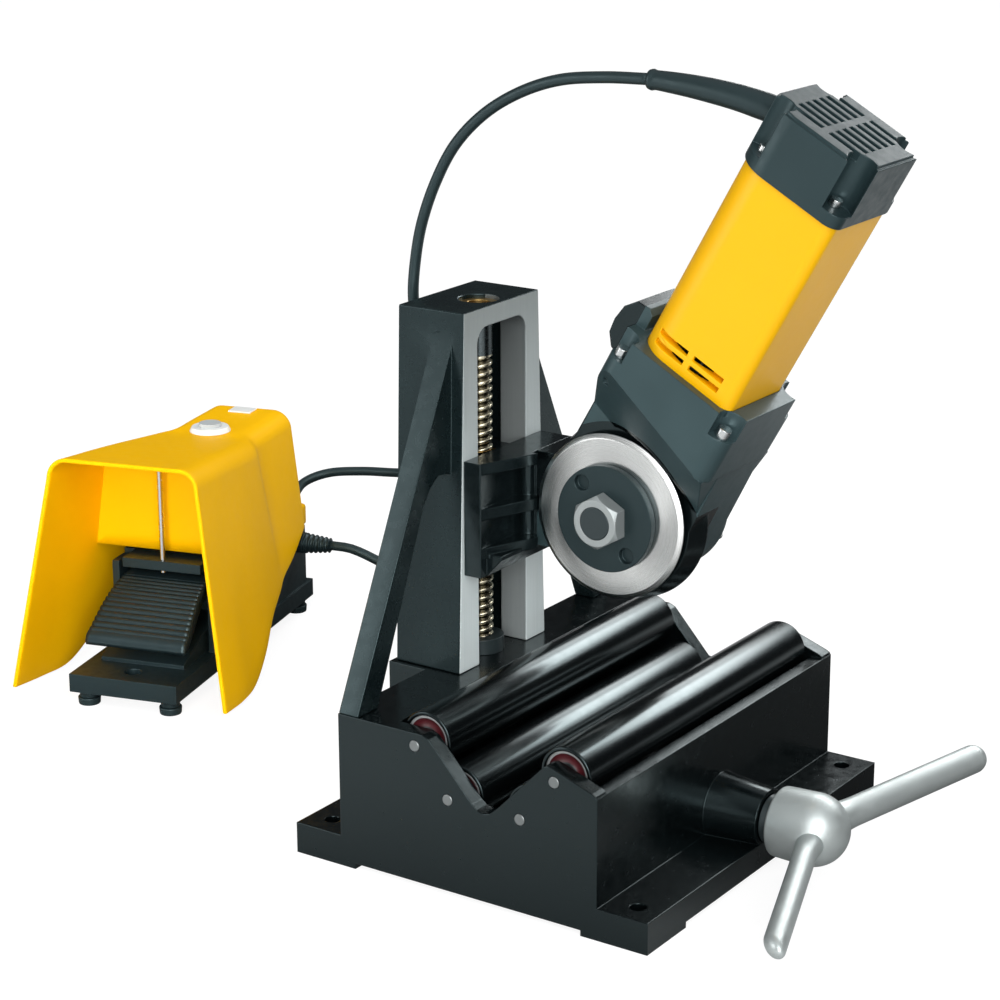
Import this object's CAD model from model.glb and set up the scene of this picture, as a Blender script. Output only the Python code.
# %% [markdown]
# # A pipe cutting machine with its foot switch
# A cast base carries four rollers that hold a pipe. A column at the left of the base guides a carriage, and
# the carriage lowers a motor with a sharp wheel onto the pipe when the bent handle at the right is turned. A
# foot switch with a yellow hood lies beside it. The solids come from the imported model; this lesson gives
# them softened edges and finishes, and makes the pieces that need a finer surface than a solid has.

# %% Load the machine
import math
import bpy
import numpy as np
from mathutils import Matrix


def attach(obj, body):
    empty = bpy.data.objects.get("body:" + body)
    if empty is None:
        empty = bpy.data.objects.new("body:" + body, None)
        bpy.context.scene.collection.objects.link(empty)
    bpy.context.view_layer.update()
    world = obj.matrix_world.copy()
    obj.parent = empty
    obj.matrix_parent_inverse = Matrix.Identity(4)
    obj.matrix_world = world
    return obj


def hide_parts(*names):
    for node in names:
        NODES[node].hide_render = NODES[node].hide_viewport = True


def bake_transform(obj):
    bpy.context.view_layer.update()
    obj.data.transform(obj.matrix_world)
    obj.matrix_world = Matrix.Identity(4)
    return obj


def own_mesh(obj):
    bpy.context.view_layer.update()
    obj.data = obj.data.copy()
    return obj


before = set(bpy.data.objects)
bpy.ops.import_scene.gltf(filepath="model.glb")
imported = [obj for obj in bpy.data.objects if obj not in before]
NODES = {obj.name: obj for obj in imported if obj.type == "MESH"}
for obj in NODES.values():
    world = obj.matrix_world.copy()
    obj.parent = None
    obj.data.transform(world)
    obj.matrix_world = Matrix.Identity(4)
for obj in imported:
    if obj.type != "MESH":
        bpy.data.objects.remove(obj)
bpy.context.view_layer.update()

MM = 0.001
print("machine loaded:", len(NODES), "solids")

# %% [markdown]
# ## The camera
# The viewing angle was worked out from the edges of the base and the column: a long lens, a little above the
# machine and to its right. The camera is placed by three directions, its right, its up and its back, so that
# the small roll of the photograph can be set as well.

# %% Camera
LENS_PIXELS = 2675
FRAME_PIXELS = 1000
EYE = np.array([924.2, -1465.5, 769.7])
AZIMUTH, ELEVATION, ROLL = np.radians([34.37, 17.13, -0.218])
back = np.array([
    math.sin(AZIMUTH) * math.cos(ELEVATION),
    -math.cos(AZIMUTH) * math.cos(ELEVATION),
    math.sin(ELEVATION),
])
right = np.array([math.cos(AZIMUTH), math.sin(AZIMUTH), 0])
up = np.cross(back, right)
right, up = (
    math.cos(ROLL) * right + math.sin(ROLL) * up,
    math.cos(ROLL) * up - math.sin(ROLL) * right,
)
camera_data = bpy.data.cameras.new("camera")
camera_data.sensor_fit = "HORIZONTAL"
camera_data.lens = camera_data.sensor_width * LENS_PIXELS / FRAME_PIXELS
camera_data.clip_end = 60
camera = bpy.data.objects.new("camera", camera_data)
bpy.context.scene.collection.objects.link(camera)
pose = np.eye(4)
pose[:3, 0], pose[:3, 1], pose[:3, 2], pose[:3, 3] = right, up, back, EYE * MM
camera.matrix_world = Matrix(pose.tolist())
bpy.context.scene.camera = camera
bpy.context.scene.view_settings.view_transform = "Standard"
print("camera lens", round(camera_data.lens, 1), "mm")

# %% [markdown]
# ## Finishes
# Every finish starts from one recipe. A broad noise varies the colour a little, a middle noise varies the
# gloss, and a fine noise gives the grain of the casting, the moulding or the blasted metal as bump. A
# painted picture could give the same marks, but noise has no seams and can be given in millimetres. All of
# them read Object coordinates, which are metres here because every piece sits at the origin, so a scale of
# 900 is a grain of about one millimetre.


def new_finish(name, slot, metallic=0.0, specular=0.5, shine=(1, 1, 1)):
    """An empty finish: a principled shader with its constants on its sockets, and the Object coordinates."""
    material = bpy.data.materials.new(name)
    material.use_nodes = True
    tree = material.node_tree
    shader = tree.nodes["Principled BSDF"]
    shader.inputs["Metallic"].default_value = metallic
    shader.inputs["Specular IOR Level"].default_value = specular
    shader.inputs["Specular Tint"].default_value = (*shine, 1)
    where = tree.nodes.new("ShaderNodeTexCoord").outputs["Object"]
    return material, tree, shader, where


def add_node(tree, kind, inputs=(), **settings):
    """One node; inputs gives each socket a number, a colour or a link from another node's output."""
    node = tree.nodes.new("ShaderNode" + kind)
    for key, value in settings.items():
        setattr(node, key, value)
    for socket, value in dict(inputs).items():
        if isinstance(value, bpy.types.NodeSocket):
            tree.links.new(value, node.inputs[socket])
        else:
            node.inputs[socket].default_value = value
    return node


def maths(tree, operation, *values):
    """The result of one arithmetic step on one or two numbers."""
    return add_node(tree, "Math", dict(enumerate(values)), operation=operation).outputs[0]


def noise(tree, where, scale, detail=3.0, stretch=None):
    """Noise with about `scale` blobs in a metre; stretch squeezes the coordinates first, for milled lines."""
    if stretch is not None:
        where = add_node(tree, "Mapping", {"Vector": where, "Scale": stretch}).outputs["Vector"]
    return add_node(tree, "TexNoise", {"Vector": where, "Scale": scale, "Detail": detail}).outputs["Fac"]


def spread(tree, value, low, high, start=0.3, end=0.7):
    """Takes a value from start..end to low..high."""
    made = add_node(tree, "MapRange", {
        "Value": value, "From Min": start, "From Max": end, "To Min": low, "To Max": high})
    return made.outputs["Result"]


def mix_colours(tree, share, first, second, blend_type="MIX"):
    """The first colour at share 0 and the second at share 1; each is a colour with alpha or a link."""
    made = add_node(tree, "Mix", {0: share, 6: first, 7: second}, data_type="RGBA", blend_type=blend_type)
    return made.outputs[2]


def tint(tree, value, dark, light):
    """A colour between two plain colours."""
    return mix_colours(tree, value, (*dark, 1), (*light, 1))


def bump(tree, height, depth_mm, strength=0.6, normal=None):
    """Bump whose full height is depth_mm."""
    inputs = {"Height": height, "Distance": depth_mm * MM, "Strength": strength}
    if normal is not None:
        inputs["Normal"] = normal
    return add_node(tree, "Bump", inputs).outputs["Normal"]


def scaled(colour, factor):
    """A colour made lighter or darker by a factor, no lighter than white."""
    return tuple(min(1.0, c * factor) for c in colour)


def soft_edges(tree, radius_mm):
    """A normal that turns over each edge within radius_mm, so that a sharp solid catches light there."""
    return add_node(tree, "Bevel", {"Radius": radius_mm * MM}, samples=6).outputs["Normal"]


# %% The recipe for a finish
BROAD, MIDDLE = 22, 140


def finish(name, slot, colour, gloss, grain, depth, mottle, gloss_spread=0.06, edge=0.0, **shader_constants):
    """The common recipe: mottled colour, uneven gloss and a fine grain. gloss is the shader's roughness."""
    material, tree, shader, where = new_finish(name, slot, **shader_constants)
    broad = spread(tree, noise(tree, where, BROAD, 4), 0, 1)
    mottled = tint(tree, broad, scaled(colour, 1 - mottle), scaled(colour, 1 + mottle))
    tree.links.new(mottled, shader.inputs["Base Color"])
    middle = noise(tree, where, MIDDLE, 4)
    uneven = spread(tree, middle, gloss - gloss_spread, gloss + gloss_spread)
    tree.links.new(uneven, shader.inputs["Roughness"])
    fine = noise(tree, where, grain, 2)
    under = soft_edges(tree, edge) if edge > 0 else None
    tree.links.new(bump(tree, fine, depth, normal=under), shader.inputs["Normal"])
    return material


# %% [markdown]
# The base is painted with a thick black gloss that shows the skin of the casting. The motor and the hood are
# moulded in yellow, the motor's cap in slate grey. The handle is blasted aluminium. Each line gives the
# name, the slot, the colour, the roughness, the scale of the grain, its depth in millimetres and how much
# the colour varies; one more number, where it is given, is how much the roughness varies.

# %% Paint, plastic and metal
COOL = (0.72, 0.96, 1.0)
BLACK_PAINT = (0.0014, 0.0024, 0.0027)
black_casting = finish(
    "black_casting_paint", "black_casting", BLACK_PAINT, 0.22, 1100, 0.035, 0.1, edge=1.2, shine=COOL)
carriage_paint = finish(
    "black_carriage_paint", "black_casting", (0.0040, 0.0066, 0.0073), 0.2, 1300, 0.02, 0.1, edge=1.4,
    shine=COOL)
drive_casting = finish(
    "slate_drive_paint", "drive_casting", (0.030, 0.052, 0.057), 0.33, 900, 0.04, 0.1, shine=COOL)
handle_alloy = finish(
    "blasted_alloy", "handle_alloy", (0.56, 0.61, 0.605), 0.45, 2600, 0.03, 0.05, metallic=0.7)
roller_coat = finish(
    "black_roller_coat", "roller_coat", (0.0010, 0.0014, 0.0016), 0.22, 1200, 0.008, 0.1, 0.02, shine=COOL)
motor_yellow = finish(
    "motor_yellow", "motor_yellow", (0.90, 0.47, 0.0), 0.36, 2400, 0.010, 0.015, 0.03, specular=0.3)
hood_yellow = finish(
    "hood_yellow", "motor_yellow", (0.92, 0.49, 0.0), 0.5, 1600, 0.03, 0.02, 0.04, specular=0.08)
cap_slate = finish(
    "slate_cap_plastic", "cap_slate", (0.015, 0.028, 0.031), 0.40, 2600, 0.03, 0.06, shine=COOL)
black_plastic = finish(
    "black_moulded_plastic", "black_plastic", (0.008, 0.015, 0.017), 0.40, 2200, 0.04, 0.1, shine=COOL)
white_plastic = finish("white_plastic", "white_plastic", (0.80, 0.81, 0.79), 0.38, 2200, 0.01, 0.02)
axle_steel = finish("dull_axle_steel", "steel", (0.26, 0.28, 0.28), 0.4, 1800, 0.02, 0.1, metallic=1.0)
steel = finish("plated_steel", "steel", (0.66, 0.68, 0.68), 0.25, 1800, 0.01, 0.05, metallic=1.0)
dark_steel = finish(
    "blackened_steel", "dark_steel", (0.030, 0.042, 0.045), 0.34, 1500, 0.012, 0.08, metallic=0.4)
flange_steel = finish(
    "slate_flange", "dark_steel", (0.011, 0.019, 0.021), 0.36, 2200, 0.02, 0.05, metallic=0.1, shine=COOL)
bronze = finish("bronze", "bronze", (0.48, 0.31, 0.11), 0.33, 1500, 0.02, 0.1, metallic=1.0)
nut_zinc = finish("zinc_nut", "steel", (0.34, 0.37, 0.37), 0.38, 1800, 0.01, 0.05, metallic=0.5)
button_grey = finish("pale_button", "white_plastic", (0.50, 0.53, 0.53), 0.3, 2200, 0.01, 0.03)
winding = finish("lacquered_winding", "winding", (0.10, 0.016, 0.012), 0.5, 1500, 0.1, 0.2)
cable_rubber = finish(
    "cable_rubber", "cable_rubber", (0.012, 0.021, 0.023), 0.42, 1800, 0.015, 0.08, shine=COOL)

# %% [markdown]
# The column is painted a very dark slate, but its front and the walls of its slot are machined guide faces.
# A mask made from the Object coordinates finds them: everything in front of the paint line, and everything
# in the front of the slot, below the painted top. There the metal is bare, with fine lines along the height
# left by the milling cutter; it is duller towards the top and in the slot.

# %% Column finish
FRONT_FACE, SLOT_BACK, SLOT_HALF, PAINTED_TOP = -76.2, -99.0, 29.4, 363.5
grey_casting, tree, shader, where = new_finish(
    "slate_column_paint", "grey_casting", metallic=0.25, shine=COOL)
split = add_node(tree, "SeparateXYZ", {0: where})
front = maths(tree, "GREATER_THAN", split.outputs["X"], FRONT_FACE * MM)
from_middle = maths(tree, "ABSOLUTE", split.outputs["Y"])
in_slot = maths(tree, "LESS_THAN", from_middle, SLOT_HALF * MM)
forward = maths(tree, "GREATER_THAN", split.outputs["X"], SLOT_BACK * MM)
wall = maths(tree, "MULTIPLY", in_slot, forward)
below_top = maths(tree, "LESS_THAN", split.outputs["Z"], PAINTED_TOP * MM)
bare = maths(tree, "MULTIPLY", maths(tree, "MAXIMUM", front, wall), below_top)
broad = spread(tree, noise(tree, where, 20, 4), 0, 1)
paint = tint(tree, broad, (0.004, 0.008, 0.009), (0.007, 0.013, 0.014))
milled = tint(tree, noise(tree, where, 90, 3, (6, 6, 0.2)), (0.70, 0.78, 0.78), (0.84, 0.91, 0.91))
worn = spread(tree, split.outputs["Z"], 1.0, 0.36, 0.15, 0.36)
inside = add_node(tree, "MapRange", {"Value": front, "To Min": 0.34, "To Max": 1.0}).outputs["Result"]
worn = maths(tree, "MULTIPLY", worn, inside)
milled = mix_colours(tree, 1.0, milled, worn, "MULTIPLY")
tree.links.new(mix_colours(tree, bare, paint, milled), shader.inputs["Base Color"])
uneven = spread(tree, noise(tree, where, 120, 4), 0.0, 0.08)
gloss = add_node(tree, "MapRange", {"Value": bare, "To Min": 0.24, "To Max": 0.36}).outputs["Result"]
tree.links.new(maths(tree, "ADD", gloss, uneven), shader.inputs["Roughness"])
tree.links.new(bump(tree, noise(tree, where, 1100, 2), 0.025), shader.inputs["Normal"])
print("column finish:", len(tree.nodes), "shader nodes")

# %% [markdown]
# The gear housing is one casting in two paints: the drum behind the wheel and the ear on its left are gloss
# black, the neck that holds the motor is slate. Two materials on one mesh would need its faces picked out,
# so one finish does it by place instead: the drum is found by its distance from the wheel's axis, the ear by
# its place in a frame that leans with the motor.

# %% Gear housing finish
LEAN = math.radians(29.2)
WHEEL_CENTRE = np.array([15.0, 0.0, 228.0])
DRUM_REACH, DRUM_BACK, EAR_EDGE = 64.5, 30.5, -51.5
drive_two_tone, tree, shader, where = new_finish("slate_and_black_drive_paint", "drive_casting", shine=COOL)
centred = add_node(
    tree, "VectorMath", {0: where, 1: (WHEEL_CENTRE * MM).tolist()}, operation="SUBTRACT").outputs[0]
leaned = add_node(tree, "VectorRotate", {"Vector": centred, "Angle": -LEAN, "Axis": (0, 1, 0)}).outputs[0]
part = add_node(tree, "SeparateXYZ", {0: leaned})
across = maths(tree, "MULTIPLY", part.outputs["X"], part.outputs["X"])
high = maths(tree, "MULTIPLY", part.outputs["Z"], part.outputs["Z"])
near_axis = maths(tree, "LESS_THAN", maths(tree, "ADD", across, high), (DRUM_REACH * MM) ** 2)
in_front = maths(tree, "LESS_THAN", part.outputs["Y"], DRUM_BACK * MM)
drum = maths(tree, "MULTIPLY", near_axis, in_front)
ear = maths(tree, "LESS_THAN", part.outputs["X"], EAR_EDGE * MM)
black = maths(tree, "MAXIMUM", drum, ear)
broad = spread(tree, noise(tree, where, BROAD, 4), 0, 1)
slate = tint(tree, broad, (0.026, 0.046, 0.050), (0.034, 0.058, 0.063))
tree.links.new(mix_colours(tree, black, slate, (*BLACK_PAINT, 1)), shader.inputs["Base Color"])
gloss = add_node(tree, "MapRange", {"Value": black, "To Min": 0.33, "To Max": 0.2}).outputs["Result"]
uneven = spread(tree, noise(tree, where, MIDDLE, 4), -0.03, 0.03)
tree.links.new(maths(tree, "ADD", gloss, uneven), shader.inputs["Roughness"])
skin = bump(tree, noise(tree, where, 1100, 2), 0.025, normal=soft_edges(tree, 1.2))
tree.links.new(skin, shader.inputs["Normal"])
print("gear housing finish:", len(tree.nodes), "shader nodes")

# %% [markdown]
# ## Surfaces worked out as arrays
# A new piece is a grid of points: rows along it, columns round it. One function joins the grid with
# four-sided faces, gives it a map for patterns that follow the surface, and turns the faces outwards by
# looking at the sign of the volume they enclose. Modelling by hand could make the same shapes, but a formula
# keeps its measures.

# %% Grids to pieces
def grid_faces(rows, cols, wrap_rows=False, wrap_cols=False):
    """Four-sided faces (i, j), (i, j+1), (i+1, j+1), (i+1, j), and the map's corners j / cols and i / rows."""
    i, j = np.meshgrid(
        np.arange(rows if wrap_rows else rows - 1), np.arange(cols if wrap_cols else cols - 1), indexing="ij")
    i, j = i.reshape(-1, 1), j.reshape(-1, 1)
    di, dj = np.array([[0, 0, 1, 1]]), np.array([[0, 1, 1, 0]])
    faces = ((i + di) % rows) * cols + (j + dj) % cols
    wide = max(cols - (not wrap_cols), 1)
    tall = max(rows - (not wrap_rows), 1)
    return faces, np.stack([(j + dj) / wide, (i + di) / tall], -1)


def enclosed(points, faces):
    """Six times the volume inside the faces: the sum of the determinants of the triangles of each face."""
    a, b, c, d = (points[faces[:, k]] for k in range(4))
    return np.sum(np.cross(a, b) * c) + np.sum(np.cross(a, c) * d)


def make_piece(name, points, faces, corners, material, body):
    """A mesh object at the origin from points in millimetres, with its map, finish, slot and body. A face
    that names one point twice in a row loses the second, so that a fan is made of triangles."""
    if enclosed(points - points.mean(0), faces) < 0:
        faces, corners = faces[:, ::-1], corners[:, ::-1]
    mesh = bpy.data.meshes.new(name)
    used = np.ones(faces.shape, bool)
    used[:, 1:] = faces[:, 1:] != faces[:, :-1]
    keep = [face[mask].tolist() for face, mask in zip(faces, used)]
    mesh.from_pydata((points * MM).tolist(), [], keep)
    layer = mesh.uv_layers.new(name="surface")
    layer.data.foreach_set("uv", corners[used].astype(np.float32).reshape(-1))
    mesh.polygons.foreach_set("use_smooth", np.ones(len(mesh.polygons), bool))
    mesh.materials.append(material)
    piece = bpy.data.objects.new(name, mesh)
    bpy.context.scene.collection.objects.link(piece)
    if body is not None:
        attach(piece, body)
    print(name, len(mesh.polygons), "faces")
    return piece


def surface(name, grid, material, body=None, wrap_rows=False):
    """A grid of points as a closed piece, joined round its columns; end rows that aren't joined to each other
    are closed by a fan round their middle."""
    rows, cols = grid.shape[:2]
    faces, corners = grid_faces(rows, cols, wrap_rows, wrap_cols=True)
    points = grid.reshape(-1, 3)
    if not wrap_rows:
        middles = np.stack([grid[0].mean(0), grid[-1].mean(0)])
        j = np.arange(cols)
        n = (j + 1) % cols
        top = (rows - 1) * cols
        first = np.stack([np.full(cols, rows * cols), n, j, j], -1)
        last = np.stack([np.full(cols, rows * cols + 1), j + top, n + top, n + top], -1)
        fan = np.stack([np.stack([j / cols, np.zeros(cols)], -1)] * 4, 1)
        points = np.vstack([points, middles])
        faces = np.vstack([faces, first, last])
        corners = np.vstack([corners, fan, fan + [0, 1]])
    return make_piece(name, points, faces, corners, material, body)


def shell(name, outer, inner, material, body):
    """A wall between two open grids of the same size, closed along its four edges."""
    rows, cols = outer.shape[:2]
    faces, corners = grid_faces(rows, cols)
    index = np.arange(rows * cols).reshape(rows, cols)
    edge = np.concatenate([index[0, :-1], index[:-1, -1], index[-1, :0:-1], index[:0:-1, 0]])
    ahead = np.roll(edge, -1)
    rim = np.stack([edge, edge + rows * cols, ahead + rows * cols, ahead], -1)
    all_faces = np.vstack([faces, faces[:, ::-1] + rows * cols, rim])
    all_corners = np.vstack([corners, corners[:, ::-1], np.zeros((len(rim), 4, 2))])
    points = np.vstack([outer.reshape(-1, 3), inner.reshape(-1, 3)])
    return make_piece(name, points, all_faces, all_corners, material, body)


# %% Lines, tubes and turned shapes
def unit(v):
    """Vectors of length one in the same directions."""
    return v / np.linalg.norm(v, axis=-1, keepdims=True)


def smooth_path(points, per_span):
    """A smooth line through points: from p1 to p2 the cubic whose slopes are half of p2 - p0 and p3 - p1."""
    p = np.asarray(points, float)
    p = np.vstack([2 * p[0] - p[1], p, 2 * p[-1] - p[-2]])
    t = np.linspace(0, 1, per_span, endpoint=False)[None, :, None]
    p0, p1, p2, p3 = (p[k:len(p) - 3 + k][:, None, :] for k in range(4))
    bend = 2 * p0 - 5 * p1 + 4 * p2 - p3
    twist = 3 * p1 - p0 - 3 * p2 + p3
    line = 0.5 * (2 * p1 + (p2 - p0) * t + bend * t**2 + twist * t**3)
    return np.vstack([line.reshape(-1, p.shape[1]), p[-2:-1]])


def tube(path, radii, side, cols=16):
    """Rings round a path: path + radius * (cos a * s + sin a * h x s), where h is the path's heading and s is
    the given side made square to it."""
    heading = unit(np.gradient(path, axis=0))
    s = unit(side - (heading @ side)[:, None] * heading)
    w = np.cross(heading, s)
    a = np.linspace(0, 2 * np.pi, cols, endpoint=False)[None, :, None]
    radii = np.broadcast_to(radii, len(path))[:, None, None]
    return path[:, None, :] + radii * (np.cos(a) * s[:, None, :] + np.sin(a) * w[:, None, :])


def turned(profile, origin, axis, across, cols=96):
    """A turned shape: each pair (along, radius) is a ring, origin + along * axis + radius * (cos a * across +
    sin a * axis x across)."""
    profile = np.asarray(profile, float)
    axis, across = unit(np.asarray(axis, float)), unit(np.asarray(across, float))
    a = np.linspace(0, 2 * np.pi, cols, endpoint=False)[:, None]
    ring = np.cos(a) * across + np.sin(a) * np.cross(axis, across)
    return np.asarray(origin, float) + profile[:, None, :1] * axis + profile[:, None, 1:] * ring[None]


def soften(profile, reach, steps=5, closed=False):
    """Rounds the corners of a line: each corner c becomes the curve (1-t)^2 a + 2t(1-t) c + t^2 b, where a
    and b lie towards the neighbours, at most reach away and at most 0.45 of the way."""
    p = np.asarray(profile, float)

    def towards(neighbour):
        away = np.maximum(np.linalg.norm(neighbour - p, axis=1), 1e-9)
        return p + (neighbour - p) * np.minimum(0.45, reach / away)[:, None]

    a, b = towards(np.roll(p, 1, 0))[:, None], towards(np.roll(p, -1, 0))[:, None]
    t = np.linspace(0, 1, steps)[None, :, None]
    curve = (1 - t) ** 2 * a + 2 * t * (1 - t) * p[:, None] + t**2 * b
    if closed:
        return curve.reshape(-1, p.shape[1])
    return np.vstack([p[:1], curve[1:-1].reshape(-1, p.shape[1]), p[-1:]])


# %% [markdown]
# Two groups of pieces don't stand square on the bench: the drive leans with the motor, and the foot switch
# is turned. Turning finished objects could do that, but every piece has to sit at the origin unturned. So
# each group is worked out in a square frame of its own, and a matrix of three axes carries its points over.

# %% The two tilted frames
DRIVE_AXES = np.array([[math.cos(LEAN), 0, -math.sin(LEAN)], [0, 1, 0], [math.sin(LEAN), 0, math.cos(LEAN)]])
TURN = math.radians(15.5)
SWITCH_PLACE = np.array([-416.0, -19.0, 0.0])
SWITCH_AXES = np.array([[math.cos(TURN), math.sin(TURN), 0], [-math.sin(TURN), math.cos(TURN), 0], [0, 0, 1]])


def in_drive(points):
    """Points of the leaning drive: the wheel's centre plus the points times the drive's three axes."""
    return WHEEL_CENTRE + np.asarray(points, float) @ DRIVE_AXES


def in_switch(points):
    """Points of the foot switch: its place on the bench plus the points times its three axes."""
    return SWITCH_PLACE + np.asarray(points, float) @ SWITCH_AXES


print("drive leans", round(math.degrees(LEAN), 1), "degrees, foot switch turns", round(math.degrees(TURN), 1))

# %% [markdown]
# ## The cables
# The motor's cable is a rubber lead eight millimetres thick. It leaves the motor through a tapered sleeve,
# hangs in a free arch behind the column and goes into the back of the foot switch, so it bends when the
# carriage moves: its upper end follows the carriage and its lower end stays. The mains lead leaves the right
# side of the foot switch, drops to the bench and is wound up behind the base. A curve with a round bevel
# could make both, but a tube of points round a smooth line gives the length as well, and stays one mesh that
# can bend.

# %% Motor cable
CABLE_R = 4.0
UPRIGHT = np.array([0.0, 0.0, 1.0])
ALONG = np.array([0.0, 1.0, 0.0])
motor_route = np.array([
    [27, 20, 520], [-8, 20, 518.5], [-43, 20, 514], [-75, 20, 503], [-104, 20, 486], [-128, 20, 463],
    [-145, 20, 435], [-157, 20, 405], [-163, 20, 377], [-165, 20, 352], [-167, 28, 330], [-173, 48, 306],
    [-184, 76, 277], [-198, 108, 247], [-214, 143, 219], [-233, 181, 193], [-255, 219, 170], [-281, 256, 150],
    [-312, 290, 133], [-347, 318, 119], [-385, 338, 108], [-424, 345, 100], [-460, 343, 96], [-490, 333, 92],
    [-505, 316, 85], [-504, 298, 75], in_switch([0, 308, 66]), in_switch([0, 284.4, 62])])
motor_line = smooth_path(motor_route, 8)
motor_lead = surface("motor_lead", tube(motor_line, CABLE_R, ALONG), cable_rubber)
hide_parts("motor_cable")
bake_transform(motor_lead)
print("motor lead", round(float(np.linalg.norm(np.diff(motor_line, axis=0), axis=1).sum()), 1), "mm")

# %% Mains lead with its coil
# The coil winds in along its lower layer, climbs to the upper layer in half a turn and winds out again.
COIL_TURNS, COIL_STEPS, COIL_IN, COIL_PITCH = 4, 24, 28.0, 8.6
COIL_OUT = COIL_IN + COIL_TURNS * COIL_PITCH
COIL_NEAR, COIL_SQUEEZE = 170, 2.5
COIL_CENTRE = np.array([-90.0, COIL_NEAR + COIL_OUT])
COIL_LOW, COIL_RISE = 4.2, 8.6
step = np.arange(COIL_STEPS * 2 * COIL_TURNS + COIL_STEPS // 2 + 1)
inward = COIL_STEPS * COIL_TURNS
climb = np.clip((step - inward) / (COIL_STEPS / 2), 0, 1)
radius = np.where(
    step <= inward, COIL_OUT - COIL_PITCH * step / COIL_STEPS,
    np.where(climb < 1, COIL_IN - COIL_SQUEEZE * np.sin(np.pi * climb),
             COIL_IN + COIL_PITCH * (step - inward - COIL_STEPS / 2) / COIL_STEPS))
angle = np.radians(-90 + 360 * step / COIL_STEPS)
coil = np.stack([COIL_CENTRE[0] + radius * np.cos(angle), COIL_CENTRE[1] + radius * np.sin(angle),
                 COIL_LOW + COIL_RISE * climb], -1)
coil_exit = coil[-1] - [6 * CABLE_R, 0, 0]
mains_route = np.vstack([
    in_switch([[71.4, 240, 66], [91, 240, 65]]),
    [[-372, 242, 58], [-350, 246, 49], [-328, 248, 38], [-306, 248, 28], [-284, 245, 18], [-262, 238, 11],
     [-241, 228, 6.5], [-221, 217, 4.6], [-201, 205, 4.2], [-179, 192, 4.2], [-155, 180, 4.2],
     [-128, 172, 4.2], [-112, 170, 4.2], [-98, 170, 4.2]], coil, [coil_exit]])
mains_line = smooth_path(mains_route, 3)
mains_lead = surface("mains_lead", tube(mains_line, CABLE_R, UPRIGHT, 12), cable_rubber, "frame")
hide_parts("mains_cable", "mains_coil")

# %% [markdown]
# A strap holds the coil together. It is a flat band, so its grid has only four rows, two outside and two
# inside, and each of them is a rounded loop round the bundle of cable.

# %% A tie round the coil
TIE_ANGLE = math.radians(205)
TIE_HALF, TIE_LOW, TIE_HIGH = 5, 0.3, 18.6
TIE_IN, TIE_OUT = COIL_IN - 7, COIL_OUT + 6
tie_corners = [[TIE_IN, TIE_LOW], [TIE_OUT, TIE_LOW], [TIE_OUT, TIE_HIGH], [TIE_IN, TIE_HIGH]]
tie_loop = soften(tie_corners, 6, 6, closed=True)
tie_middle = tie_loop.mean(0)
tie_inner = tie_middle + (tie_loop - tie_middle) * [0.97, 0.93]
outward = np.array([math.cos(TIE_ANGLE), math.sin(TIE_ANGLE), 0])
sideways = np.array([-outward[1], outward[0], 0])
tie_rows = [(tie_loop, -TIE_HALF), (tie_loop, TIE_HALF), (tie_inner, TIE_HALF), (tie_inner, -TIE_HALF)]
coil_foot = np.array([*COIL_CENTRE, 0])
tie_grid = np.stack([
    coil_foot + loop[:, :1] * outward + np.maximum(loop[:, 1:], 0.1) * UPRIGHT + side * sideways
    for loop, side in tie_rows])
coil_tie = surface("coil_tie", tie_grid, black_plastic, "frame", wrap_rows=True)

# %% [markdown]
# The sleeve where the cable leaves the motor is a long taper with a small lip at its thin end. It bends a
# little, so it is a tube like the cable, with a radius that changes along it. The two glands on the foot
# switch are short ribbed cones, which are straight, so they can be turned about a line.

# %% Cable sleeve
sleeve_route = np.vstack([
    in_drive([-36, 20, 294]), in_drive([-46, 20, 294.5]),
    [[107, 20, 510.5], [92, 20, 513.5], [75, 20, 516], [57, 20, 518], [40, 20, 519.3], [27, 20, 520]]])
sleeve_line = smooth_path(sleeve_route, 10)
share = np.linspace(0, 1, len(sleeve_line))
sleeve_r = np.interp(share, [0, 0.15, 0.3, 0.6, 0.9, 1], [9.2, 9.2, 9.0, 8.0, 6.6, 6.2])
sleeve_r = sleeve_r + 0.8 * np.exp(-((share - 0.975) / 0.02) ** 2)
cable_sleeve = surface("motor_sleeve", tube(sleeve_line, sleeve_r, ALONG, 32), cable_rubber, "carriage")
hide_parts("cable_sleeve")

# %% Cable glands
CONE_START, CONE_STEP = 6, 4.2


def gland(name, start, heading, across, length):
    """A ribbed cone on a round nut: the radius falls evenly along the cone, plus a sine with one wave for each
    rib, cut off below so that the grooves are flat."""
    along = np.linspace(CONE_START, length, 72)
    cone = np.interp(along, [CONE_START, length], [8.0, 5.6])
    ribs = cone + 0.9 * np.clip(np.sin((along - CONE_START) / CONE_STEP * 2 * np.pi), -0.4, 1)
    nut = soften([[-8, 6.9], [0, 6.9], [0, 9], [5.6, 9], [5.6, 7.4]], 0.8)
    profile = np.vstack([nut, np.stack([along, np.maximum(ribs, 5.0)], -1), [[length, 4.2]]])
    return surface(name, turned(profile, start, heading, across, 40), black_plastic, "frame")


rear_gland = gland("rear_gland", in_switch([0, 252, 62]), SWITCH_AXES[1], SWITCH_AXES[0], 32.8)
side_gland = gland("side_gland", in_switch([44, 240, 66]), SWITCH_AXES[0], SWITCH_AXES[1], 27.8)
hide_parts("cable_glands")

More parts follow.
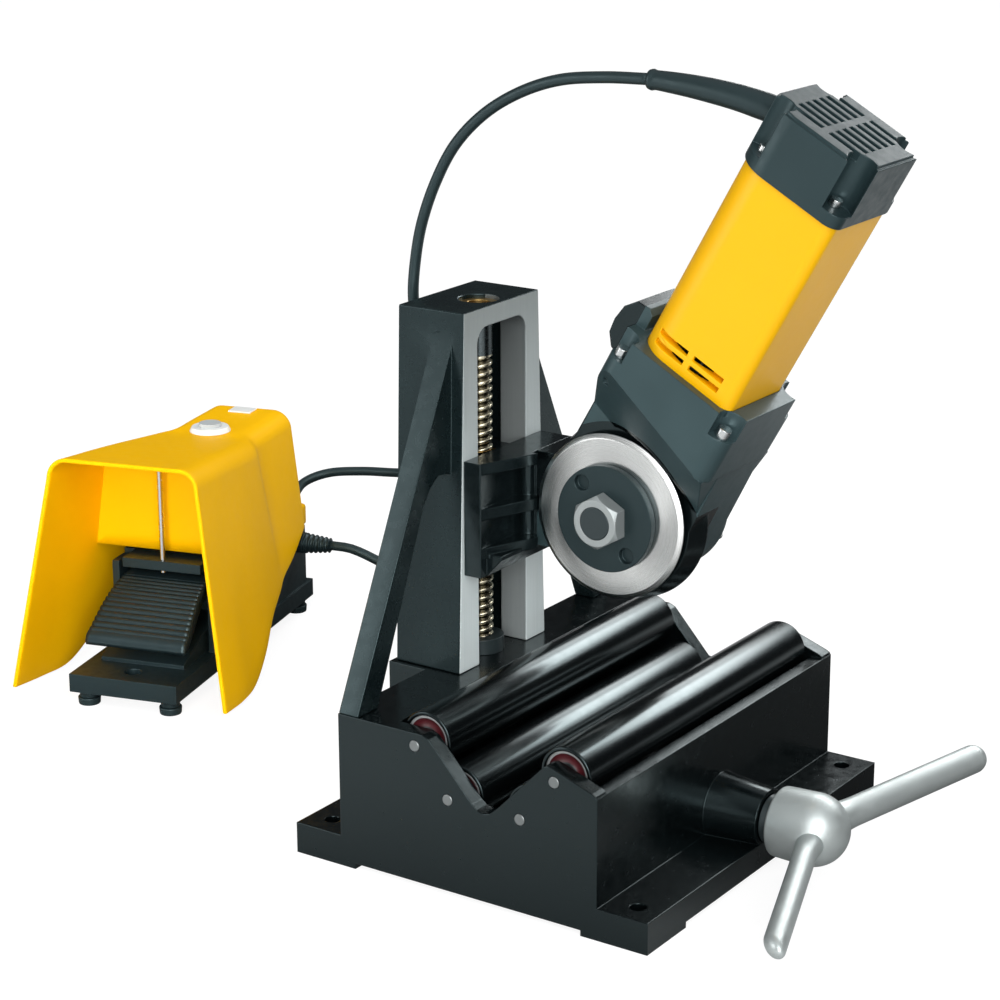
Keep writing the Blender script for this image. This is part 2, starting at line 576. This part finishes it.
# %% [markdown]
# ## The lead screw
# The screw in the column has a trapezoid thread. A screw modifier could wind a profile, but its ends would
# need closing, while one formula gives thread, plain shank and journals in a single closed skin. The radius
# is a function of the height and the angle: the height less the thread's climb, taken as a share of one
# thread, goes through a flat crest, a slope, a flat root and a slope. The steel is oily and warm in colour,
# and darker in the roots, which the finish finds by the distance from the axis.

# %% Lead screw finish
SCREW_X, THREAD_LEAD, CREST_R, ROOT_R, JOURNAL_R = -95.0, 6.0, 9.0, 7.0, 8.0
SCREW_FOOT, THREAD_FOOT, SHANK_FOOT, SHANK_HEAD, SCREW_HEAD = 55.5, 121.5, 325.0, 349.6, 358
screw_steel, tree, shader, where = new_finish("oiled_screw_steel", "polished_steel", metallic=1.0)
centred = add_node(tree, "Mapping", {"Vector": where, "Location": (-SCREW_X * MM, 0, 0), "Scale": (1, 1, 0)})
from_axis = add_node(tree, "VectorMath", {0: centred.outputs["Vector"]}, operation="LENGTH").outputs["Value"]
crest = spread(tree, from_axis, 0, 1, ROOT_R * MM, (CREST_R - 0.4) * MM)
brassy = tint(tree, crest, (0.05, 0.042, 0.025), (0.72, 0.66, 0.50))
level = add_node(tree, "SeparateXYZ", {0: where}).outputs["Z"]
shank = maths(tree, "GREATER_THAN", level, SHANK_FOOT * MM)
tree.links.new(mix_colours(tree, shank, brassy, (0.10, 0.12, 0.125, 1)), shader.inputs["Base Color"])
tree.links.new(spread(tree, noise(tree, where, 300), 0.2, 0.34), shader.inputs["Roughness"])
tree.links.new(bump(tree, noise(tree, where, 1500), 0.01), shader.inputs["Normal"])
print("screw finish:", len(tree.nodes), "shader nodes")

# %% Lead screw
turns_up = np.arange(THREAD_FOOT, SHANK_HEAD, 0.5)
height = np.concatenate([[SCREW_FOOT, THREAD_FOOT - 0.1], turns_up, [SHANK_HEAD, SCREW_HEAD]])
around = np.linspace(0, 2 * np.pi, 48, endpoint=False)
phase = np.mod(height[:, None] / THREAD_LEAD - around[None, :] / (2 * np.pi), 1)
flank = np.interp(phase, [0, 0.22, 0.42, 0.72, 0.92, 1], [1, 1, 0, 0, 1, 1])
threaded = ((height >= THREAD_FOOT) & (height < SHANK_FOOT))[:, None]
plain_r = np.where((height >= SHANK_FOOT) & (height < SHANK_HEAD - 0.05), CREST_R, JOURNAL_R)[:, None]
screw_r = np.where(threaded, ROOT_R + (CREST_R - ROOT_R) * flank, plain_r)
screw_grid = np.stack([SCREW_X + screw_r * np.cos(around), screw_r * np.sin(around),
                       np.broadcast_to(height[:, None], screw_r.shape)], -1)
lead_screw = surface("threaded_screw", screw_grid, screw_steel, "feed_screw")
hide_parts("lead_screw")

# %% [markdown]
# ## Rollers
# Each roller is a black tube with rounded lips and a sealed bearing in each end. Cylinders could be joined
# and cut for them, but a closed profile turned about the axle gives each in one step. The seals are dark red
# rubber between a bright outer ring and a dark inner ring, so their finish reads the map: the row of the map
# says which ring a point is on.

# %% Bearing finish
SEAL_BANDS = [
    (0.0, (0.22, 0.23, 0.23)), (0.14, (0.055, 0.006, 0.009)), (0.40, (0.015, 0.016, 0.017)),
    (1.0, (0.22, 0.23, 0.23))]
bearing_finish, tree, shader, where = new_finish("sealed_bearing", "seal_red", metallic=0.0)
row = add_node(tree, "SeparateXYZ", {0: add_node(tree, "UVMap", uv_map="surface").outputs["UV"]}).outputs["Y"]
bands = add_node(tree, "ValToRGB", {"Fac": row})
bands.color_ramp.interpolation = "CONSTANT"
for place, colour in SEAL_BANDS[1:-1]:
    bands.color_ramp.elements.new(place)
ordered = sorted(bands.color_ramp.elements, key=lambda element: element.position)
for element, (place, colour) in zip(ordered, SEAL_BANDS):
    element.position = place
    element.color = (*colour, 1)
tree.links.new(bands.outputs["Color"], shader.inputs["Base Color"])
tree.links.new(spread(tree, noise(tree, where, 200), 0.35, 0.5), shader.inputs["Roughness"])
tree.links.new(bump(tree, noise(tree, where, 2000), 0.02), shader.inputs["Normal"])
print("bearing finish:", len(SEAL_BANDS) - 1, "bands")

# %% Rollers and their bearings
TROUGH_X, ROLLER_R, ROLLER_HALF, ROLLER_BORE = 15.0, 19.0, 143.0, 16.0
ROLLERS = {
    "upper_left": (-54.5, 101), "upper_right": (54.5, 101),
    "lower_left": (-28.3, 69), "lower_right": (28.3, 69)}
BEARING_FACE, SEAL_FACE, BEARING_BACK, AXLE_R = -141.5, -141.0, -130, 4.1
tube_corners = [
    [-ROLLER_HALF, ROLLER_BORE], [-ROLLER_HALF, ROLLER_R],
    [ROLLER_HALF, ROLLER_R], [ROLLER_HALF, ROLLER_BORE]]
tube_profile = soften(tube_corners, 1.4, 6, closed=True)
ring_profile = np.array([
    [BEARING_FACE, ROLLER_BORE], [BEARING_FACE, 14.2], [SEAL_FACE, 14.0], [SEAL_FACE, 8.4],
    [BEARING_FACE, 8.2], [BEARING_FACE, AXLE_R], [BEARING_BACK, AXLE_R], [BEARING_BACK, ROLLER_BORE]])
for place, (offset, level) in ROLLERS.items():
    centre = [TROUGH_X + offset, 0, level]
    body = place + "_roller"
    tube_grid = turned(tube_profile, centre, ALONG, UPRIGHT, 80)
    coat = surface("roller_tube_" + place, tube_grid, roller_coat, body, wrap_rows=True)
    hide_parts("roller_" + place)
    for end, sign in (("front", 1), ("rear", -1)):
        ring_grid = turned(ring_profile * [sign, 1], centre, ALONG, UPRIGHT, 48)
        seal = surface(f"bearing_{place}_{end}", ring_grid, bearing_finish, body, wrap_rows=True)
        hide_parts("bearings_" + place)

# %% [markdown]
# ## The cutter wheel
# The wheel is turned and ground steel, so its face shows the fan of light that turning marks give. Thousands
# of fine grooves could be modelled for that, but the shader's anisotropy does it when its tangent runs round
# the wheel, along the first direction of the map. Noise over the distance from the axis adds rings.

# %% Cutter wheel finish
wheel_steel, tree, shader, where = new_finish("ground_wheel_steel", "polished_steel", metallic=1.0)
shader.inputs["Anisotropic"].default_value = 0.9
tangent = add_node(tree, "Tangent", direction_type="UV_MAP", uv_map="surface")
tree.links.new(tangent.outputs["Tangent"], shader.inputs["Tangent"])
to_axis = (-WHEEL_CENTRE * MM).tolist()
centred = add_node(tree, "Mapping", {"Vector": where, "Location": to_axis, "Scale": (1, 0, 1)})
from_axis = add_node(tree, "VectorMath", {0: centred.outputs["Vector"]}, operation="LENGTH").outputs["Value"]
rings = add_node(tree, "TexNoise", {"W": from_axis, "Scale": 2600, "Detail": 2}, noise_dimensions="1D")
marks = rings.outputs["Fac"]
tree.links.new(tint(tree, marks, (0.56, 0.57, 0.56), (0.76, 0.77, 0.76)), shader.inputs["Base Color"])
tree.links.new(spread(tree, marks, 0.24, 0.34), shader.inputs["Roughness"])
tree.links.new(bump(tree, marks, 0.01, 0.4), shader.inputs["Normal"])
print("wheel finish:", len(tree.nodes), "shader nodes")

# %% Cutter wheel
WHEEL_BACK, WHEEL_FRONT, WHEEL_BORE_R, WHEEL_R = -2.0, -7.0, 11.55, 57.5
wheel_corners = [
    [WHEEL_BACK, WHEEL_BORE_R], [WHEEL_FRONT, WHEEL_BORE_R], [WHEEL_FRONT, 54.2],
    [-4.9, WHEEL_R], [-4.3, WHEEL_R], [WHEEL_BACK, 53.0]]
wheel_profile = soften(wheel_corners, 0.3, 3, closed=True)
wheel_grid = turned(wheel_profile, WHEEL_CENTRE, ALONG, DRIVE_AXES[2], 180)
wheel = surface("cutting_wheel", wheel_grid, wheel_steel, "cutter", wrap_rows=True)
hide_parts("cutter_wheel")

# %% [markdown]
# The rear of the gear case is closed by a round cover with a raised middle, turned like the wheel about its
# axis. A turned shape that ends on its axis stops a hair short of it, so that its last ring still has a
# size.

# %% Gear case cover
HAIR = 1e-3
CASE_BACK, RIM_BACK, MIDDLE_BACK = 58.0, 64.0, 67.0
SPIGOT_R, COVER_R = 44, 53
cover_profile = soften([
    [CASE_BACK - 3, SPIGOT_R], [CASE_BACK, SPIGOT_R], [CASE_BACK, COVER_R], [RIM_BACK, COVER_R],
    [RIM_BACK, 23.5], [MIDDLE_BACK, 22], [MIDDLE_BACK, HAIR]], 1.0)
cover_grid = turned(cover_profile, WHEEL_CENTRE, ALONG, DRIVE_AXES[2], 128)
cover = surface("gear_cover_plate", cover_grid, drive_casting, "carriage")
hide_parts("gear_case_cover")

# %% [markdown]
# Four screws hold the motor on the neck. They are turned about lines that lean with the motor, and their
# shanks end inside the neck.

# %% Neck screws
MOTOR_Y, NECK_SCREW_X, NECK_SCREW_Y = 22.0, 44.0, 39.0
TIP_LEVEL, SEAT_LEVEL, HEAD_LEVEL = 90.5, 108, 115
STEM_R, HEAD_R = 2.5, 4.6
screw_profile = soften([
    [TIP_LEVEL, HAIR], [TIP_LEVEL, STEM_R], [SEAT_LEVEL, STEM_R], [SEAT_LEVEL, HEAD_R], [HEAD_LEVEL, HEAD_R],
    [HEAD_LEVEL, HAIR]], 0.5)
NECK_CORNERS = {"front_left": (-1, -1), "front_right": (1, -1), "rear_left": (-1, 1), "rear_right": (1, 1)}
for place, (x, y) in NECK_CORNERS.items():
    foot = in_drive([x * NECK_SCREW_X, MOTOR_Y + y * NECK_SCREW_Y, 0])
    neck_grid = turned(screw_profile, foot, DRIVE_AXES[2], ALONG, 32)
    screw = surface("neck_screw_" + place, neck_grid, steel, "carriage")
    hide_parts("neck_screws")

# %% [markdown]
# ## The feed handle
# A round hub with a domed nose carries two arms that are raked outwards. All three are round, so they are
# turned shapes: an arm flares where it leaves the hub and ends in a half ball.

# %% Handle hub
SHAFT_Z, HUB_X, HUB_R, HUB_BACK, HUB_BORE_R = 36.5, 173.0, 25, 148, 9
nose = np.linspace(0, np.pi / 2, 24)
hub_profile = np.vstack([
    soften([[HUB_BACK, HUB_BORE_R], [HUB_BACK, HUB_R - 1], [HUB_X - 1, HUB_R]], 2.0),
    np.stack([HUB_X + HUB_R * np.sin(nose), HUB_R * np.cos(nose) + HAIR], -1)])
hub_grid = turned(hub_profile, [0, 0, SHAFT_Z], [1, 0, 0], UPRIGHT, 96)
hub = surface("handle_boss", hub_grid, handle_alloy, "feed_handle")
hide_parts("handle_hub")

# %% Handle arms
ARM_START, FLARE_END, ARM_LENGTH, ARM_R, ARM_FLARE, FLARE_REACH = 12, 40, 160.0, 10.0, 3.2, 12.0
ARM_RAKE, ARM_TURN = np.radians([19, 5])
tip = np.linspace(0, np.pi / 2, 16)
flare = np.linspace(ARM_START, FLARE_END, 24)
arm_profile = np.vstack([
    np.stack([flare, ARM_R + ARM_FLARE * np.exp(-((flare - ARM_START) / FLARE_REACH) ** 2)], -1),
    np.stack([ARM_LENGTH - ARM_R + ARM_R * np.sin(tip), ARM_R * np.cos(tip) + HAIR], -1)])
beside = [math.cos(ARM_RAKE), -math.sin(ARM_RAKE), 0.1]
for label, flip in (("near", 0.0), ("far", math.pi)):
    swing = ARM_TURN + flip
    out = [math.sin(ARM_RAKE), math.cos(ARM_RAKE) * math.cos(swing), math.cos(ARM_RAKE) * math.sin(swing)]
    arm_grid = turned(arm_profile, [HUB_X, 0, SHAFT_Z], out, beside, 48)
    arm = surface("handle_arm_" + label, arm_grid, handle_alloy, "feed_handle")
    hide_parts("handle_arms")

# %% [markdown]
# ## The hood
# The hood of the foot switch is a moulded shell: a roof that falls to the rear, round shoulders and two
# skirts that flare to the sides. It could be pulled out of a box by hand; here stations along it give the
# places of roof and skirt, the half widths and the heights, and a smooth line through the stations gives
# every cross section. Each section is a skirt line, a quarter round and the roof. The same function with an
# inset gives the lining, so the wall has one thickness.

# %% Sections of the hood
HOOD_TOP, HOOD_DROP, SHOULDER_R, HOOD_WALL, HOOD_END = 197.0, 16.0, 16.0, 3.5, 241.0
# roof place, skirt place, roof half width, skirt half width, skirt height, share of the drop
stations = np.array([
    [4, -20, 64, 92, 13, 0], [26, 20, 62, 89, 9, 0.15], [52, 54, 60, 84, 9, 0.32], [80, 86, 57, 79, 23, 0.51],
    [112, 118, 54, 72, 43, 0.76], [146, 150, 49.5, 65, 53, 1], [166, 170, 41, 60, 59, 1],
    [200, 202, 40, 55, 66, 1], [HOOD_END, HOOD_END + 2, 39, 48, 79, 1]])


def hood_grid(lines, inset):
    """Points of the hood: the skirt goes straight from its edge to the shoulder, the shoulder turns a quarter
    circle, and the roof is level; the place along the hood goes from skirt to roof with the height."""
    roof_v, skirt_v, roof_w, skirt_w, skirt_z, share = (lines[:, k:k + 1] for k in range(6))
    top = HOOD_TOP - HOOD_DROP * share - inset
    r = SHOULDER_R - inset
    q = np.concatenate([np.linspace(0, 1, 14), np.linspace(1, 2, 13)[1:], np.linspace(2, 3, 9)[1:]])[None, :]
    rise = np.clip(q, 0, 1)
    turn = np.clip(q - 1, 0, 1) * np.pi / 2
    flat = np.clip(q - 2, 0, 1)
    shoulder_w = roof_w - inset
    w_line = (skirt_w - inset) + (shoulder_w - skirt_w + inset) * rise
    w = np.where(q <= 1, w_line, (shoulder_w - r + r * np.cos(turn)) * (1 - flat))
    z = np.where(q <= 1, skirt_z + (top - r - skirt_z) * rise, top - r + r * np.sin(turn))
    v = skirt_v + (roof_v - skirt_v) * (z - skirt_z) / (top - skirt_z)
    half = np.stack([-w, v, z], -1)
    other = (half * [-1, 1, 1])[:, -2::-1]
    return np.concatenate([half, other], 1)


# %% Hood shell
RIM_ROUND = 1.3
lines = smooth_path(stations, 7)
outside, lining = in_switch(hood_grid(lines, 0)), in_switch(hood_grid(lines, HOOD_WALL))
hood = shell("hood_shell", outside, lining, hood_yellow, "frame")
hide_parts("foot_switch_hood")
rounding = hood.modifiers.new("rim", "BEVEL")
rounding.width = RIM_ROUND * MM
rounding.segments = 3
rounding.limit_method = "ANGLE"
rounding.angle_limit = math.radians(50)

# %% [markdown]
# Two walls stand across the hood, one above the pedal's pivot and one at the rear, and a lip juts out behind
# the rear wall. The walls take their outline from the hood's own section, half a wall inside its skin, so
# that they meet it.

# %% Walls across the hood
def hood_partition(name, line, near_face, far_face, low):
    """A wall across the hood: from a level line up to the hood's section, half a wall inside it."""
    section = hood_grid(line[None], HOOD_WALL / 2)[0]
    section = section[section[:, 2] >= low]
    t = np.linspace(0, 1, 8)[:, None]
    w = np.broadcast_to(section[None, :, 0], (8, len(section)))
    z = low + t * (section[None, :, 2] - low)

    def face(place):
        return in_switch(np.stack([w, np.full_like(w, place), z], -1))

    wall = shell(name, face(near_face), face(far_face), hood_yellow, "frame")
    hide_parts("foot_switch_hood")


PIVOT_WALL, PIVOT_WALL_LOW, REAR_WALL_LOW, CROSS_WALL = 80, 104, 78, 4
hood_partition("hood_inner_wall", stations[3], PIVOT_WALL, PIVOT_WALL + CROSS_WALL, PIVOT_WALL_LOW)
hood_partition("hood_rear_wall", stations[8], HOOD_END - CROSS_WALL, HOOD_END, REAR_WALL_LOW)

# %% Lip at the rear of the hood
LIP_HALF, LIP_TOP = 44, 96
lip_corners = [
    [-LIP_HALF, REAR_WALL_LOW], [LIP_HALF, REAR_WALL_LOW], [LIP_HALF, LIP_TOP], [-LIP_HALF, LIP_TOP]]
lip = soften(lip_corners, 3, 5, closed=True)
lip_places = np.array([HOOD_END - 1, HOOD_END + 13.5, HOOD_END + 14])
lip_rows = np.stack([
    np.broadcast_to(lip[:, 0], (3, len(lip))), np.broadcast_to(lip_places[:, None], (3, len(lip))),
    np.broadcast_to(lip[:, 1], (3, len(lip)))], -1)
lip_rows[2] *= [0.985, 1, 1]
hood_lip = surface("hood_rear_lip", in_switch(lip_rows), hood_yellow, "frame")
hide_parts("foot_switch_hood")

# %% [markdown]
# ## The pedal
# The tread of the pedal is an arched plate with round ribs across it, so that a shoe doesn't slip. Bump
# could draw the ribs, but they show at the edge of the tread, so they are part of its shape. Its top and its
# underside are two lines seen from the side; the ribs are cut into the top line as a row of rounded waves.

# %% Pedal seen from the side
top_line = smooth_path(
    [[12, 46], [14, 51], [20, 56], [30, 64], [42, 72.5], [54, 79], [66, 83.5], [78, 86], [84, 84.5]], 40)
under_line = smooth_path([[13, 43.2], [22, 46], [34, 53], [52, 65], [70, 72.6], [84, 75.5]], 64)
RIB_PITCH, RIB_FIRST, RIB_LAST, RIB_HEIGHT = 4.0, 17.0, 69.0, 1.5
along = np.linspace(0, 1, len(top_line))
under = np.stack([np.interp(along, np.linspace(0, 1, len(under_line)), under_line[:, k]) for k in (0, 1)], -1)
heading = unit(np.gradient(top_line, axis=0))
wave = np.abs(np.sin(np.pi * (top_line[:, 0] - RIB_FIRST) / RIB_PITCH)) ** 0.6
ribbed = (top_line[:, 0] > RIB_FIRST) & (top_line[:, 0] < RIB_LAST)
lift = np.where(ribbed, RIB_HEIGHT * (wave - 1), 0.0)
crown = top_line + lift[:, None] * np.stack([-heading[:, 1], heading[:, 0]], -1)
print("pedal outline", len(crown), "points")


# %% Pedal
def tread(line):
    """A line seen from the side, spread across the pedal: the half width falls evenly from toe to pivot."""
    across = np.linspace(-1, 1, 25)[:, None] * np.interp(line[:, 0], [10, 88], [43, 33.5])
    along, level = (np.broadcast_to(line[:, k], across.shape) for k in (0, 1))
    return np.stack([across, along, level], -1)


pedal = shell("ribbed_pedal", in_switch(tread(crown)), in_switch(tread(under)), black_plastic, "pedal")
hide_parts("foot_pedal")
PIN_HALF, BARREL_HALF, PIN_R, BARREL_R = 43.5, 32, 4, 7.4
pivot_profile = soften([
    [-PIN_HALF, PIN_R], [-BARREL_HALF, PIN_R], [-BARREL_HALF, BARREL_R], [BARREL_HALF, BARREL_R],
    [BARREL_HALF, PIN_R], [PIN_HALF, PIN_R]], 0.6)
pivot_grid = turned(pivot_profile, in_switch([0, 82, 79]), SWITCH_AXES[0], UPRIGHT, 48)
pivot = surface("pedal_pivot", pivot_grid, black_plastic, "pedal")
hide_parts("foot_pedal")

# %% [markdown]
# The coil spring under the pedal stands on the switch and is pressed together as the pedal goes down. The
# wire is a tube along a helix, and squash flattens it towards its foot while the pedal turns.

# %% Spring under the pedal
SPRING_RADIUS, WIRE_RADIUS, SPRING_TURNS = 8.0, 0.8, 16 / 3
SPRING_PLACE, SPRING_FOOT, SPRING_HEAD = 46.0, 30.8, 55.8
wound = np.linspace(0, 2 * np.pi * SPRING_TURNS, 193)
helix = np.stack([SPRING_RADIUS * np.cos(wound), SPRING_PLACE + SPRING_RADIUS * np.sin(wound),
                  np.linspace(SPRING_FOOT, SPRING_HEAD, len(wound))], -1)
spring = surface("coiled_spring", tube(in_switch(helix), WIRE_RADIUS, UPRIGHT, 8), steel, "frame")
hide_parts("pedal_spring")
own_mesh(spring)

# %% [markdown]
# ## Dressing the solids
# The other solids keep their shape. Their meshes are loose triangles, so modifiers first weld them, join
# flat triangles into whole faces and then round the edges; a last one makes flat faces shade flat beside the
# rounds. The three big castings have a rounding of 0: their many cuts would fold under a modifier, so their
# meshes stay as they are and their finish softens the edges.

# %% Round the edges of the solids
WELD_MM, FLAT_ANGLE, EDGE_ANGLE, EDGE_SEGMENTS = 0.004, math.radians(0.6), math.radians(32), 2


def dress(node, material, round_mm):
    """Gives a solid its finish and, where round_mm is more than 0, rounded edges."""
    solid = NODES[node]
    solid.data.materials.clear()
    solid.data.materials.append(material)
    if round_mm <= 0:
        return
    weld = solid.modifiers.new("weld", "WELD")
    weld.merge_threshold = WELD_MM * MM
    flat = solid.modifiers.new("flat faces", "DECIMATE")
    flat.decimate_type = "DISSOLVE"
    flat.angle_limit = FLAT_ANGLE
    edge = solid.modifiers.new("round edges", "BEVEL")
    edge.width = round_mm * MM
    edge.segments = EDGE_SEGMENTS
    edge.limit_method = "ANGLE"
    edge.angle_limit = EDGE_ANGLE
    edge.use_clamp_overlap = False
    edge.miter_outer = "MITER_SHARP"
    shade = solid.modifiers.new("even shading", "WEIGHTED_NORMAL")
    shade.keep_sharp = False
    shade.weight = 90


# %% A finish and a rounding for each solid
DRESSING = {
    "base_casting": (black_casting, 0), "column_casting": (grey_casting, 1.2),
    "column_screws": (dark_steel, 0), "top_bush": (bronze, 0.5), "thrust_bearing": (dark_steel, 0.5),
    "feed_bushes": (bronze, 0.4), "roller_axles": (axle_steel, 0.8),
    "feed_shaft": (steel, 0.6), "feed_pinion": (dark_steel, 0), "shaft_collar": (dark_steel, 0.8),
    "screw_gear": (dark_steel, 0), "carriage_casting": (carriage_paint, 0), "lead_nut": (bronze, 0.5),
    "carriage_bolts": (dark_steel, 0), "gear_housing": (drive_two_tone, 0),
    "gear_case_cover": (drive_casting, 0), "cover_screws": (steel, 0.4), "neck_screws": (steel, 0.5),
    "motor_housing": (motor_yellow, 0.5),
    "motor_end_cap": (cap_slate, 0.6), "end_cap_screws": (steel, 0.5), "stator": (winding, 0),
    "carbon_brushes": (dark_steel, 0), "spindle_bearings": (steel, 0), "motor_bearings": (steel, 0),
    "wheel_flange": (flange_steel, 0.6), "wheel_nut": (nut_zinc, 0.3), "spindle": (dark_steel, 0.8),
    "crown_gear": (dark_steel, 0), "motor_pinion": (dark_steel, 0), "armature": (winding, 0),
    "cooling_fan": (black_plastic, 0), "foot_switch_base": (black_plastic, 0.6),
    "foot_switch_feet": (cable_rubber, 0.8),
    "hood_stay_rod": (steel, 0), "hood_plug": (white_plastic, 0.5), "button_collar": (white_plastic, 0.6),
    "switch_block": (black_plastic, 0), "foot_pedal": (black_plastic, 0), "pedal_spring": (steel, 0),
    "reset_button": (button_grey, 0.6), "mains_plug": (black_plastic, 1.0)}
for node, (material, round_mm) in DRESSING.items():
    dress(node, material, round_mm)
print(len(DRESSING), "solids dressed")

# %% [markdown]
# ## The studio
# The machine stands on a wide white floor in a dim room that is dark near the horizon and lighter overhead.
# A plain white floor would light the black castings from below, so only the camera sees it near white, with
# a little glow of its own and a soft shadow; the machine sees a floor that is dark in the middle.

# %% Floor
FLOOR_HALF = 30.0
floor_mesh = bpy.data.meshes.new("floor")
floor_mesh.from_pydata([
    (-FLOOR_HALF, -FLOOR_HALF, 0), (FLOOR_HALF, -FLOOR_HALF, 0), (FLOOR_HALF, FLOOR_HALF, 0),
    (-FLOOR_HALF, FLOOR_HALF, 0)], [], [(0, 1, 2, 3)])
floor = bpy.data.objects.new("floor", floor_mesh)
bpy.context.scene.collection.objects.link(floor)
floor_paint = bpy.data.materials.new("floor_white")
floor_paint.use_nodes = True
tree = floor_paint.node_tree
tree.nodes.remove(tree.nodes["Principled BSDF"])
place = add_node(tree, "SeparateXYZ", {0: add_node(tree, "TexCoord").outputs["Object"]}).outputs["Y"]
front = spread(tree, place, 0.86, 0.08, -0.3, 0.1)
rear = spread(tree, place, 0.0, 0.55, 0.35, 0.75)
plain = add_node(tree, "BsdfDiffuse", {"Color": maths(tree, "ADD", front, rear)})
part = add_node(tree, "BsdfDiffuse", {"Color": (0.2, 0.2, 0.2, 1)})
glow = add_node(tree, "Emission", {"Color": (1, 1, 1, 1), "Strength": 0.88})
lit = add_node(tree, "AddShader", {0: part.outputs[0], 1: glow.outputs[0]})
seen = add_node(tree, "LightPath").outputs["Is Camera Ray"]
both = add_node(tree, "MixShader", {0: seen, 1: plain.outputs[0], 2: lit.outputs[0]})
tree.links.new(both.outputs[0], tree.nodes["Material Output"].inputs["Surface"])
floor_mesh.materials.append(floor_paint)
print("floor", 2 * FLOOR_HALF, "m wide")

# %% Room
world = bpy.data.worlds.new("room")
bpy.context.scene.world = world
world.use_nodes = True
tree = world.node_tree
direction = add_node(tree, "SeparateXYZ", {0: add_node(tree, "TexCoord").outputs["Generated"]})
overhead = spread(tree, direction.outputs["Z"], 0.0, 1.0, 0.4, 1.0)
room = tint(tree, overhead, (0.035, 0.037, 0.039), (0.60, 0.62, 0.63))
seen = add_node(tree, "LightPath").outputs["Is Camera Ray"]
room = mix_colours(tree, seen, room, (1, 1, 1, 1))
tree.links.new(room, tree.nodes["Background"].inputs["Color"])
tree.nodes["Background"].inputs["Strength"].default_value = 1.0
print("room:", len(tree.nodes), "shader nodes")

# %% [markdown]
# A broad soft sun gives the general light, and panels fill it in from the front, the left and the back. A
# small lamp lights the inside of the hood. The last panel draws the long highlights on the rollers: light
# linking keeps it on the tubes alone, since on everything else it would wash out the black paint.

# %% Lamps
def lamp(name, kind, place, target, power, size):
    """A lamp that looks from a place to a target, in metres. A sun's size is its angle, a panel's its sides."""
    data = bpy.data.lights.new(name, kind)
    data.energy = power
    if kind == "SUN":
        data.angle = math.radians(size)
    else:
        data.shape = "RECTANGLE"
        data.size, data.size_y = size
    lamp_object = bpy.data.objects.new(name, data)
    bpy.context.scene.collection.objects.link(lamp_object)
    z = unit(np.asarray(place, float) - np.asarray(target, float))
    x = unit(np.cross([0.0, 0.0, 1.0] if abs(z[2]) < 0.99 else [0.0, 1.0, 0.0], z))
    stand = np.eye(4)
    stand[:3, :3] = np.stack([x, np.cross(z, x), z], -1)
    stand[:3, 3] = place
    lamp_object.matrix_world = Matrix(stand.tolist())
    lamp_object.visible_camera = False
    return lamp_object


lamp("soft_sun", "SUN", (1.6, -1.7, 1.8), (0, 0, 0.2), 2.0, 50)
lamp("low_fill", "AREA", (1.7, -2.3, 0.7), (0, 0, 0.2), 30, (1.6, 1.0))
lamp("left_fill", "AREA", (-1.9, -1.9, 1.0), (-0.1, 0, 0.2), 22, (1.2, 1.4))
hood_fill = lamp("hood_fill", "AREA", (0.1, -1.15, 0.42), (-0.43, 0.05, 0.1), 0.5, (0.5, 0.5))
hood_fill.data.spread = math.radians(38)
lamp("back_panel", "AREA", (0.1, 0.95, 0.75), (0.05, 0, 0.15), 6, (1.0, 0.3))
roller_panel = lamp("roller_panel", "AREA", (0.25, 1.35, 1.3), (0.03, 0, 0.12), 12, (0.75, 0.6))
tubes = bpy.data.collections.new("roller_tubes")
for place in ROLLERS:
    tubes.objects.link(bpy.data.objects["roller_tube_" + place])
roller_panel.light_linking.receiver_collection = tubes
roller_panel.light_linking.blocker_collection = tubes
print(len(bpy.data.lights), "lamps")
